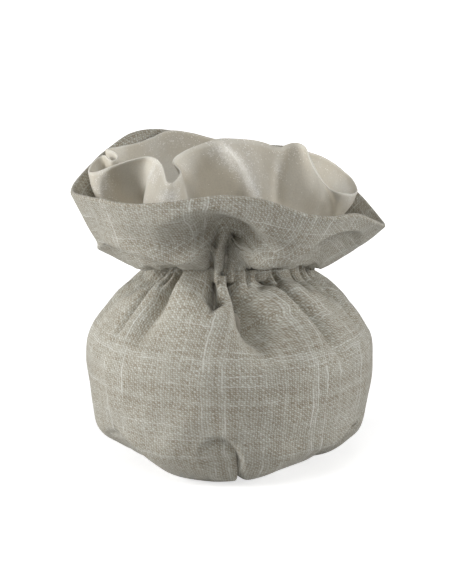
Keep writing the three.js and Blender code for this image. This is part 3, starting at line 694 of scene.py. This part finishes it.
def elasticTree():
    # Geometry Nodes: a flat band with rounded corners on a circle that waves where the cloth is gathered on it.
    tree = bpy.data.node_groups.new("elasticBand", "GeometryNodeTree")
    sockets = {}
    for name in ("radius", "height", "width", "thickness", "rounding", "wave", "waves"):
        sockets[name] = tree.interface.new_socket(name=name, in_out="INPUT", socket_type="NodeSocketFloat")
    sockets["steps"] = tree.interface.new_socket(name="steps", in_out="INPUT", socket_type="NodeSocketInt")
    sockets["material"] = tree.interface.new_socket(name="material", in_out="INPUT", socket_type="NodeSocketMaterial")
    tree.interface.new_socket(name="band", in_out="OUTPUT", socket_type="NodeSocketGeometry")

    def node(kind, **settings):
        made = tree.nodes.new(kind)
        for key, value in settings.items():
            setattr(made, key, value)
        return made

    def link(source, target):
        tree.links.new(source, target)

    def calculate(operation, first, second=None):
        made = node("ShaderNodeMath", operation=operation)
        for socket, value in zip(made.inputs, (first, second)):
            if isinstance(value, (int, float)):
                socket.default_value = value
            elif value is not None:
                tree.links.new(value, socket)
        return made.outputs[0]

    given = node("NodeGroupInput").outputs
    circle = node("GeometryNodeCurvePrimitiveCircle")
    link(given["steps"], circle.inputs["Resolution"])
    link(given["radius"], circle.inputs["Radius"])
    factor = node("GeometryNodeSplineParameter").outputs["Factor"]
    turns = calculate("MULTIPLY", factor, given["waves"])
    wave = calculate("MULTIPLY", calculate("COSINE", calculate("MULTIPLY", turns, 2 * math.pi)), given["wave"])
    direction = node("ShaderNodeVectorMath", operation="NORMALIZE")
    link(node("GeometryNodeInputPosition").outputs[0], direction.inputs[0])
    sideways = node("ShaderNodeVectorMath", operation="SCALE")
    link(direction.outputs[0], sideways.inputs[0])
    link(wave, sideways.inputs["Scale"])
    upward = node("ShaderNodeCombineXYZ")
    link(calculate("ADD", calculate("MULTIPLY", wave, 0.5), given["height"]), upward.inputs["Z"])
    shift = node("ShaderNodeVectorMath", operation="ADD")
    link(sideways.outputs[0], shift.inputs[0])
    link(upward.outputs[0], shift.inputs[1])
    path = node("GeometryNodeSetPosition")
    link(circle.outputs["Curve"], path.inputs["Geometry"])
    link(shift.outputs[0], path.inputs["Offset"])
    upright = node("GeometryNodeSetCurveNormal", mode="Z_UP")
    link(path.outputs[0], upright.inputs["Curve"])
    section = node("GeometryNodeCurvePrimitiveQuadrilateral")
    link(given["thickness"], section.inputs["Width"])
    link(given["width"], section.inputs["Height"])
    rounded = node("GeometryNodeFilletCurve", mode="POLY")
    link(section.outputs[0], rounded.inputs["Curve"])
    link(given["rounding"], rounded.inputs["Radius"])
    rounded.inputs["Count"].default_value = 3
    kept = []
    for curve in (upright.outputs[0], rounded.outputs[0]):
        keep = node("GeometryNodeCaptureAttribute")
        keep.capture_items.new("FLOAT", "way")
        link(curve, keep.inputs["Geometry"])
        link(factor, keep.inputs["way"])
        kept.append(keep)
    band = node("GeometryNodeCurveToMesh")
    link(kept[0].outputs["Geometry"], band.inputs["Curve"])
    link(kept[1].outputs["Geometry"], band.inputs["Profile Curve"])
    weave = node("ShaderNodeCombineXYZ")
    around = calculate("MULTIPLY", calculate("MULTIPLY", kept[0].outputs["way"], given["radius"]), 2 * math.pi)
    link(around, weave.inputs["X"])
    across = calculate("MULTIPLY", given["width"], 2.4)
    link(calculate("MULTIPLY", kept[1].outputs["way"], across), weave.inputs["Y"])
    store = node("GeometryNodeStoreNamedAttribute", data_type="FLOAT2", domain="CORNER")
    store.inputs["Name"].default_value = "weave"
    link(band.outputs[0], store.inputs["Geometry"])
    link(weave.outputs[0], store.inputs["Value"])
    size = node("GeometryNodeTransform")
    size.inputs["Scale"].default_value = (millimetre, millimetre, millimetre)
    link(store.outputs[0], size.inputs["Geometry"])
    smooth = node("GeometryNodeSetShadeSmooth")
    link(size.outputs[0], smooth.inputs["Geometry"])
    real = node("GeometryNodeRealizeInstances")
    link(smooth.outputs[0], real.inputs["Geometry"])
    finish = node("GeometryNodeSetMaterial")
    link(real.outputs[0], finish.inputs["Geometry"])
    link(given["material"], finish.inputs["Material"])
    link(finish.outputs[0], node("NodeGroupOutput").inputs[0])
    return tree, sockets


def elasticBand(look, material):
    tree, sockets = elasticTree()
    piece = bpy.data.objects.new("neckElastic", bpy.data.meshes.new("neckElastic"))
    bpy.context.scene.collection.objects.link(piece)
    modifier = piece.modifiers.new("band", "NODES")
    modifier.node_group = tree
    for name, value in look.items():
        modifier[sockets[name].identifier] = value if name == "steps" else float(value)
    modifier[sockets["material"].identifier] = material
    piece.update_tag()
    bpy.context.view_layer.update()
    graph = bpy.context.evaluated_depsgraph_get()
    made = piece.evaluated_get(graph)
    mesh = bpy.data.meshes.new_from_object(made, preserve_all_data_layers=True, depsgraph=graph)
    piece.modifiers.clear()
    piece.data = mesh
    mesh.name = "neckElastic"
    return piece


patchLook = {"radius": 17.4, "rings": 14, "around": 96, "low": 0.0, "thickness": 0.8}


def patchMesh(look):
    # A flat round patch of linen with a soft edge, its underside on the floor.
    half = look["thickness"] / 2
    outline = [(look["radius"] * k / look["rings"], look["low"]) for k in range(1, look["rings"])]
    for k in range(5):
        turn = -math.pi / 2 + math.pi * k / 4
        outline.append((look["radius"] - half + half * math.cos(turn), look["low"] + half + half * math.sin(turn)))
    top = look["low"] + look["thickness"]
    outline += [(look["radius"] * k / look["rings"], top) for k in range(look["rings"] - 1, 0, -1)]
    around = look["around"]
    vertices = [(0, 0, look["low"])]
    for k in range(around):
        a = 2 * math.pi * k / around
        vertices += [(r * math.cos(a), r * math.sin(a), z) for r, z in outline]
    vertices.append((0, 0, top))
    n = len(outline)
    faces = []
    for k in range(around):
        a, b = 1 + k * n, 1 + (k + 1) % around * n
        faces.append((0, b, a))
        faces += [(a + j, b + j, b + j + 1, a + j + 1) for j in range(n - 1)]
        faces.append((a + n - 1, b + n - 1, len(vertices) - 1))
    mesh = bpy.data.meshes.new("basePatch")
    mesh.from_pydata([(x * millimetre, y * millimetre, z * millimetre) for x, y, z in vertices], [], faces)
    layer = mesh.uv_layers.new(name="weave")
    for loop in mesh.loops:
        x, y, _ = vertices[loop.vertex_index]
        layer.data[loop.index].uv = (x, y)
    mesh.shade_smooth()
    mesh.update()
    piece = bpy.data.objects.new("basePatch", mesh)
    bpy.context.scene.collection.objects.link(piece)
    return piece


# Materials

class Graph:
    def __init__(self, name):
        self.material = bpy.data.materials.new(name)
        self.material.use_nodes = True
        self.nodes = self.material.node_tree.nodes
        self.links = self.material.node_tree.links
        self.shader = self.nodes["Principled BSDF"]
        self.output = self.nodes["Material Output"]

    def node(self, kind, **settings):
        made = self.nodes.new(kind)
        for key, value in settings.items():
            setattr(made, key, value)
        return made

    def put(self, socket, value):
        if isinstance(value, (int, float, tuple, list)):
            socket.default_value = value
        else:
            self.links.new(value, socket)

    def math(self, operation, a, b=0.0, c=0.0):
        made = self.node("ShaderNodeMath", operation=operation)
        for socket, value in zip(made.inputs, (a, b, c)):
            self.put(socket, value)
        return made.outputs[0]

    def times(self, a, b):
        return self.math("MULTIPLY", a, b)

    def vary(self, value, amount, base):
        # base, moved down and up by half of amount as value goes from 0 to 1
        return self.math("MULTIPLY_ADD", self.math("SUBTRACT", value, 0.5), amount, base)

    def mixColour(self, share, a, b, blend="MIX"):
        made = self.node("ShaderNodeMix", data_type="RGBA", blend_type=blend)
        self.put(made.inputs[0], share)
        self.put(made.inputs[6], a)
        self.put(made.inputs[7], b)
        return made.outputs[2]

    def mapRange(self, value, low, high, toLow=0.0, toHigh=1.0):
        made = self.node("ShaderNodeMapRange", interpolation_type="SMOOTHSTEP")
        for socket, item in zip(made.inputs, (value, low, high, toLow, toHigh)):
            self.put(socket, item)
        return made.outputs[0]

    def noise(self, vector, scale, detail=2.0, roughness=0.5, dimensions="3D"):
        made = self.node("ShaderNodeTexNoise", noise_dimensions=dimensions)
        if vector is not None:
            self.links.new(vector, made.inputs["Vector"])
        made.inputs["Scale"].default_value = scale
        made.inputs["Detail"].default_value = detail
        made.inputs["Roughness"].default_value = roughness
        return made.outputs[0]

    def combine(self, x, y, z=0.0):
        made = self.node("ShaderNodeCombineXYZ")
        for socket, value in zip(made.inputs, (x, y, z)):
            self.put(socket, value)
        return made.outputs[0]

    def chance(self, value, dimensions="1D"):
        # a random number for each value
        made = self.node("ShaderNodeTexWhiteNoise", noise_dimensions=dimensions)
        self.links.new(value, made.inputs["W" if dimensions == "1D" else "Vector"])
        return made.outputs["Value"]

    def shaded(self, colour, tone):
        return self.mixColour(1.0, colour, self.combine(tone, tone, tone), "MULTIPLY")

    def weave(self):
        return self.node("ShaderNodeUVMap", uv_map="weave").outputs[0]

    def parts(self, vector, kind="ShaderNodeSeparateXYZ"):
        made = self.node(kind)
        self.links.new(vector, made.inputs[0])
        return made.outputs

    def bump(self, height, strength, distance):
        made = self.node("ShaderNodeBump")
        made.inputs["Strength"].default_value = strength
        made.inputs["Distance"].default_value = distance
        self.links.new(height, made.inputs["Height"])
        self.links.new(made.outputs[0], self.shader.inputs["Normal"])

    def fix(self, values):
        for name, value in values.items():
            self.shader.inputs[name].default_value = value


linenLook = {
    "warpPitch": 0.89,
    "weftPitch": 0.65,
    "paleColour": (0.60, 0.61, 0.565, 1),
    "middleColour": (0.455, 0.44, 0.38, 1),
    "brownColour": (0.255, 0.215, 0.155, 1),
    "slubColour": (0.68, 0.685, 0.64, 1),
    "bump": 0.00016,
    # brightness: 0 is the middle colour, 1 the pale one, -1 the brown one
    "gap": -0.66,
    "dash": 1.5,
    "levelDash": 0.46,
    "slant": 0.5,
    "grain": 0.9,
    "cell": 0.3,
    "swell": 0.45,
    "warpTone": 0.3,
    "weftTone": 0.3,
}


def linenMaterial(name, look):
    g = Graph(name)
    uv = g.weave()
    # threads wander a little, and each crossing sits a little off its place
    x, y = g.parts(uv)[:2]
    for size, shiftX, shiftY in ((0.12, 1.8, 1.6), (0.7, 0.6, 0.6)):
        wobble = g.node("ShaderNodeTexNoise", noise_dimensions="2D")
        g.links.new(uv, wobble.inputs["Vector"])
        wobble.inputs["Scale"].default_value = size
        wobble.inputs["Detail"].default_value = 3.0
        aside, along = g.parts(wobble.outputs["Color"], "ShaderNodeSeparateColor")[:2]
        x = g.vary(aside, shiftX, x)
        y = g.vary(along, shiftY, y)
    x = g.math("DIVIDE", x, look["warpPitch"])
    y = g.math("DIVIDE", y, look["weftPitch"])
    crossX = g.math("COSINE", g.times(x, math.pi))
    crossY = g.math("COSINE", g.times(y, math.pi))
    # plain weave: each crossing shows a short upright or a short level dash, with brown gaps between
    warpId = g.math("ROUND", x)
    weftId = g.math("ROUND", y)
    # the twist of the yarn slants each dash
    slanted = g.math("MULTIPLY_ADD", g.math("SUBTRACT", y, weftId), look["slant"], x)
    absX = g.math("ABSOLUTE", g.math("COSINE", g.times(slanted, math.pi)))
    absY = g.math("ABSOLUTE", crossY)
    upright = g.times(g.math("POWER", absX, 1.9), g.math("POWER", absY, 0.45))
    level = g.times(g.math("POWER", absX, 0.5), g.math("POWER", absY, 1.7))
    warpOnTop = g.mapRange(g.times(crossX, crossY), -0.12, 0.12)
    warpTone = g.chance(warpId)
    weftTone = g.chance(g.math("ADD", weftId, 517.3))
    cellTone = g.chance(g.combine(warpId, weftId), "2D")
    warpAlong = g.noise(g.combine(g.times(warpId, 7.31), g.times(y, 0.05)), 1.0, 2.0, 0.55, "2D")
    weftAlong = g.noise(g.combine(g.times(x, 0.045), g.times(weftId, 5.77)), 1.0, 2.0, 0.55, "2D")
    warpSlub = g.times(g.math("GREATER_THAN", warpTone, 0.84), g.mapRange(warpAlong, 0.46, 0.66))
    weftSlub = g.times(g.math("GREATER_THAN", weftTone, 0.84), g.mapRange(weftAlong, 0.48, 0.66))
    warpCore = g.times(warpSlub, g.math("POWER", g.math("ABSOLUTE", crossX), 1.2))
    weftCore = g.times(weftSlub, g.math("POWER", g.math("ABSOLUTE", crossY), 1.2))
    # each thread swells and thins along its way
    warpFine = g.noise(g.combine(g.times(warpId, 3.7), g.times(y, 0.35)), 1.0, 1.0, 0.5, "2D")
    weftFine = g.noise(g.combine(g.times(x, 0.3), g.times(weftId, 4.3)), 1.0, 1.0, 0.5, "2D")
    swell = g.math("SUBTRACT", warpFine, weftFine)
    level = g.times(g.times(level, look["levelDash"]), g.math("SUBTRACT", 1.0, warpOnTop))
    dash = g.math("ADD", g.times(upright, warpOnTop), level)
    lift = g.math("MULTIPLY_ADD", dash, look["dash"], look["gap"])
    lift = g.math("MULTIPLY_ADD", swell, look["swell"], lift)
    grain = g.noise(g.combine(g.times(x, 1.2), g.times(y, 0.55)), 1.0, 1.0, 0.5, "2D")
    lift = g.vary(grain, look["grain"], lift)
    lift = g.vary(cellTone, look["cell"], lift)
    lift = g.vary(warpTone, look["warpTone"], lift)
    lift = g.vary(weftTone, look["weftTone"], lift)
    threads = g.mixColour(g.math("MAXIMUM", lift, 0.0), look["middleColour"], look["paleColour"])
    threads = g.mixColour(g.math("MAXIMUM", g.times(lift, -1.0), 0.0), threads, look["brownColour"])
    slub = g.math("MAXIMUM", g.times(warpCore, 0.55), g.times(weftCore, g.math("MULTIPLY_ADD", crossX, 0.25, 0.4)))
    threads = g.mixColour(slub, threads, look["slubColour"])
    height = g.math("ABSOLUTE", g.times(crossX, crossY))
    patches = g.noise(uv, 0.07, 3.0, 0.55, "2D")
    tone = g.vary(patches, 0.16, 1.0)
    colour = g.shaded(threads, tone)
    g.links.new(colour, g.shader.inputs["Base Color"])
    fuzz = g.noise(uv, 3.5, 2.0, 0.6, "2D")
    raised = g.math("MULTIPLY_ADD", fuzz, 0.4, g.math("MULTIPLY_ADD", slub, 0.6, height))
    g.bump(raised, 0.6, look["bump"])
    g.put(g.shader.inputs["Roughness"], g.math("MULTIPLY_ADD", fuzz, 0.15, 0.82))
    g.fix({"Specular IOR Level": 0.2, "Sheen Weight": 0.15, "Sheen Roughness": 0.5})
    return g.material


organzaLook = {
    "colour": (0.595, 0.54, 0.435, 1),
    "pale": (0.655, 0.615, 0.525, 1),
    "paintedGlintColour": (1.0, 0.975, 0.92, 1),
    "hem": (0.80, 0.785, 0.72, 1),
    "alpha": 0.93,
    # thin cloth lets some light through
    "soak": 0.5,
    "soakDepth": 0.0025,
    # shares of painted glint flecks (highlight specks painted into the colour) where the mesh's finish says none and
    # all
    "paintedGlintFlecks": (0.004, 1.0),
    "fleckScale": 2.9,
}


def organzaMaterial(name, look):
    g = Graph(name)
    uv = g.weave()
    # the mesh tells where glints are painted into the colour (x) and where the rolled hem is (y)
    finish = g.node("ShaderNodeAttribute", attribute_name="finish").outputs["Vector"]
    paintedGlint, hem = g.parts(finish)[:2]
    cloud = g.noise(uv, 0.07, 3.0, 0.55, "2D")
    fine = g.noise(uv, 1.9, 3.0, 0.65, "2D")
    colour = g.mixColour(g.mapRange(cloud, 0.35, 0.7), look["colour"], look["pale"])
    shade = g.vary(fine, 0.3, 1.0)
    colour = g.shaded(colour, shade)
    # painted highlight: the colour is lifted toward the pale hem colour where glints are painted
    colour = g.mixColour(g.times(paintedGlint, 0.45), colour, look["hem"])
    colour = g.mixColour(g.times(hem, 0.3), colour, look["hem"])
    # painted glints: pale specks painted into the base colour, denser where the mesh's finish asks for them
    paintedGlintFlecks = g.node("ShaderNodeTexVoronoi", voronoi_dimensions="2D", feature="F1")
    g.links.new(uv, paintedGlintFlecks.inputs["Vector"])
    paintedGlintFlecks.inputs["Scale"].default_value = look["fleckScale"]
    chance, strength = g.parts(paintedGlintFlecks.outputs["Color"], "ShaderNodeSeparateColor")[:2]
    low, high = look["paintedGlintFlecks"]
    clump = g.mapRange(g.noise(uv, 0.45, 2.0, 0.6, "2D"), 0.34, 0.58, 0.25, 1.0)
    share = g.math("MULTIPLY_ADD", g.times(paintedGlint, clump), high - low, low)
    glint = g.math("LESS_THAN", chance, share)
    spot = g.times(glint, g.math("LESS_THAN", paintedGlintFlecks.outputs["Distance"], 0.42))
    spot = g.times(spot, g.math("MULTIPLY_ADD", strength, 0.7, 0.3))
    colour = g.mixColour(g.times(spot, 0.95), colour, look["paintedGlintColour"])
    g.links.new(colour, g.shader.inputs["Base Color"])
    g.put(g.shader.inputs["Roughness"], g.math("MULTIPLY_ADD", spot, -0.2, 0.6))
    g.fix({
        "Specular IOR Level": 0.3,
        "Subsurface Weight": look["soak"],
        "Subsurface Radius": (1.0, 1.0, 1.0),
        "Subsurface Scale": look["soakDepth"],
        "Sheen Weight": 0.2,
        "Sheen Roughness": 0.4,
        "Alpha": look["alpha"],
    })
    g.bump(fine, 0.4, 0.00012)
    return g.material


def plainMaterial(name, colour, roughness, grain):
    g = Graph(name)
    coordinates = g.node("ShaderNodeTexCoord").outputs["Object"]
    speck = g.noise(coordinates, grain, 3.0, 0.6)
    tone = g.vary(speck, 0.3, 1.0)
    mixed = g.shaded(colour, tone)
    g.links.new(mixed, g.shader.inputs["Base Color"])
    g.put(g.shader.inputs["Roughness"], g.math("MULTIPLY_ADD", speck, 0.2, roughness))
    return g.material


def braidMaterial(name, colour):
    # Ribs of thread round a rubber core, across the band's own length.
    g = Graph(name)
    across, up = g.parts(g.weave())[:2]
    x = g.times(across, 2 * math.pi / 0.7)
    y = g.times(up, 2 * math.pi / 0.5)
    rib = g.math("ABSOLUTE", g.math("SINE", g.math("ADD", g.times(x, 0.5), g.math("SINE", y))))
    tone = g.math("MULTIPLY_ADD", rib, 0.35, 0.65)
    g.links.new(g.shaded(colour, tone), g.shader.inputs["Base Color"])
    g.fix({"Roughness": 0.65})
    g.bump(rib, 0.7, 0.0002)
    return g.material


# Build the pieces

linen = linenMaterial("linenWeave", linenLook)
organza = organzaMaterial("organzaPaintedGlints", organzaLook)
elasticBraid = braidMaterial("elasticBraid", (0.74, 0.72, 0.67, 1))
cardBoard = plainMaterial("cardBoard", (0.58, 0.52, 0.42, 1), 0.8, 900.0)
print("materials made")

points, weave = bodyPoints(bodyLook)
body = gridMesh("bodyCloth", points, weave, bodyLook["clothAround"], flip=True)
body.data.materials.append(linen)
print("body cloth made")

points, weave = casingPoints(casingLook)
casing = gridMesh("neckCasing", points[:, ::-1], weave[:, ::-1], casingLook["clothAround"])
casing.data.materials.append(linen)
print("neck casing made")

elastic = elasticBand(elasticLook, elasticBraid)
print("elastic made")

points, weave = rufflePoints(ruffleLook)
ruffle = gridMesh("ruffleCollar", points, weave, ruffleLook["clothAround"], closed=True)
ruffle.data.materials.append(linen)
print("ruffle made")

points, weave, frillLength, frillHeight = frillPoints(frillLook)
frill = gridMesh("organzaFrill", points, weave, frillLength, closed=True, flip=True)
frillPaintedGlintAndHem(frill, weave, frillLength, frillHeight, frillPaintedGlints)
frill.data.materials.append(organza)
print("frill made")

points, weave = liningPoints(liningLook)
lining = gridMesh("organzaBag", points, weave, liningLook["clothAround"], flip=True, closed=True)
lining.data.materials.append(organza)
print("lining made")

patch = patchMesh(patchLook)
patch.data.materials.append(linen)
print("patch made")

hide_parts("body_cloth")
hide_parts("neck_casing")
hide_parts("neck_elastic")
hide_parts("ruffle_outer", "ruffle_facing")
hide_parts("organza_frill")
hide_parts("organza_lining")
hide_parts("base_patch")
for piece in (body, casing, elastic, ruffle, frill, lining, patch):
    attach(piece, "root")

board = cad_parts["base_board"]
board.data.materials.clear()
board.data.materials.append(cardBoard)


# Camera, light and floor

cameraLook = {"elevation": 14.0, "distance": 0.9, "target": (-1.1, 0.0, 53.9), "pixel": 0.3136, "frameHeight": 584}


def placeCamera(look):
    data = bpy.data.cameras.new("camera")
    camera = bpy.data.objects.new("camera", data)
    bpy.context.scene.collection.objects.link(camera)
    rise = math.radians(look["elevation"])
    target = Vector(look["target"]) * millimetre
    camera.location = target + Vector((0, -math.cos(rise), math.sin(rise))) * look["distance"]
    camera.rotation_euler = (target - camera.location).to_track_quat("-Z", "Y").to_euler()
    data.sensor_width = 36
    data.lens = 36 * look["distance"] / (look["frameHeight"] * look["pixel"] * millimetre)
    data.clip_end = 20
    bpy.context.scene.camera = camera


def areaLight(name, place, size, power, colour=(1, 1, 1)):
    data = bpy.data.lights.new(name, "AREA")
    data.size = size
    data.energy = power
    data.color = colour
    light = bpy.data.objects.new(name, data)
    bpy.context.scene.collection.objects.link(light)
    light.location = place
    light.rotation_euler = (Vector((0, 0, 0.05)) - Vector(place)).to_track_quat("-Z", "Y").to_euler()


def makeFloor():
    size = 3.0
    mesh = bpy.data.meshes.new("floor")
    mesh.from_pydata([(-size, -size, 0), (size, -size, 0), (size, size, 0), (-size, size, 0)], [], [(0, 1, 2, 3)])
    floor = bpy.data.objects.new("floor", mesh)
    bpy.context.scene.collection.objects.link(floor)
    # a grey floor that the camera sees as white outside the object's shadow
    g = Graph("floor")
    g.fix({"Base Color": (0.7, 0.7, 0.7, 1), "Roughness": 0.9})
    glow = g.node("ShaderNodeEmission")
    place = g.node("ShaderNodeTexCoord")
    away = g.node("ShaderNodeVectorMath", operation="LENGTH")
    g.links.new(place.outputs["Object"], away.inputs[0])
    shine = g.mapRange(away.outputs["Value"], 0.1, 0.42, 0.68, 1.0)
    both = g.node("ShaderNodeAddShader")
    path = g.node("ShaderNodeLightPath")
    g.links.new(g.times(path.outputs["Is Camera Ray"], shine), glow.inputs["Strength"])
    g.links.new(g.shader.outputs[0], both.inputs[0])
    g.links.new(glow.outputs[0], both.inputs[1])
    g.links.new(both.outputs[0], g.output.inputs["Surface"])
    floor.data.materials.append(g.material)


lightLook = {
    # name, place, size, power
    "lamps": [
        ("leftLamp", (-1.0, -0.15, 0.32), 0.5, 9.8),
        ("rightLamp", (1.0, -0.15, 0.35), 0.5, 5.9),
        ("frontHighLamp", (0.0, -0.75, 0.95), 0.6, 4.9),
    ],
    "sky": 0.08,
}


def makeSky(strength):
    # White where the camera looks, and an even dimmer light on the object.
    world = bpy.data.worlds.new("studio")
    bpy.context.scene.world = world
    world.use_nodes = True
    nodes, links = world.node_tree.nodes, world.node_tree.links
    path = nodes.new("ShaderNodeLightPath")
    seen = path.outputs["Is Camera Ray"]
    for ray in ("Is Glossy Ray", "Is Transmission Ray"):
        either = nodes.new("ShaderNodeMath")
        either.operation = "MAXIMUM"
        links.new(seen, either.inputs[0])
        links.new(path.outputs[ray], either.inputs[1])
        seen = either.outputs[0]
    level = nodes.new("ShaderNodeMapRange")
    links.new(seen, level.inputs["Value"])
    level.inputs["To Min"].default_value = strength
    level.inputs["To Max"].default_value = 1.0
    links.new(level.outputs[0], nodes["Background"].inputs["Strength"])
    nodes["Background"].inputs["Color"].default_value = (1, 1, 1, 1)


placeCamera(cameraLook)
for name, place, size, power in lightLook["lamps"]:
    areaLight(name, place, size, power)
makeFloor()
makeSky(lightLook["sky"])
bpy.context.scene.view_settings.view_transform = "Standard"
print("camera and light made")
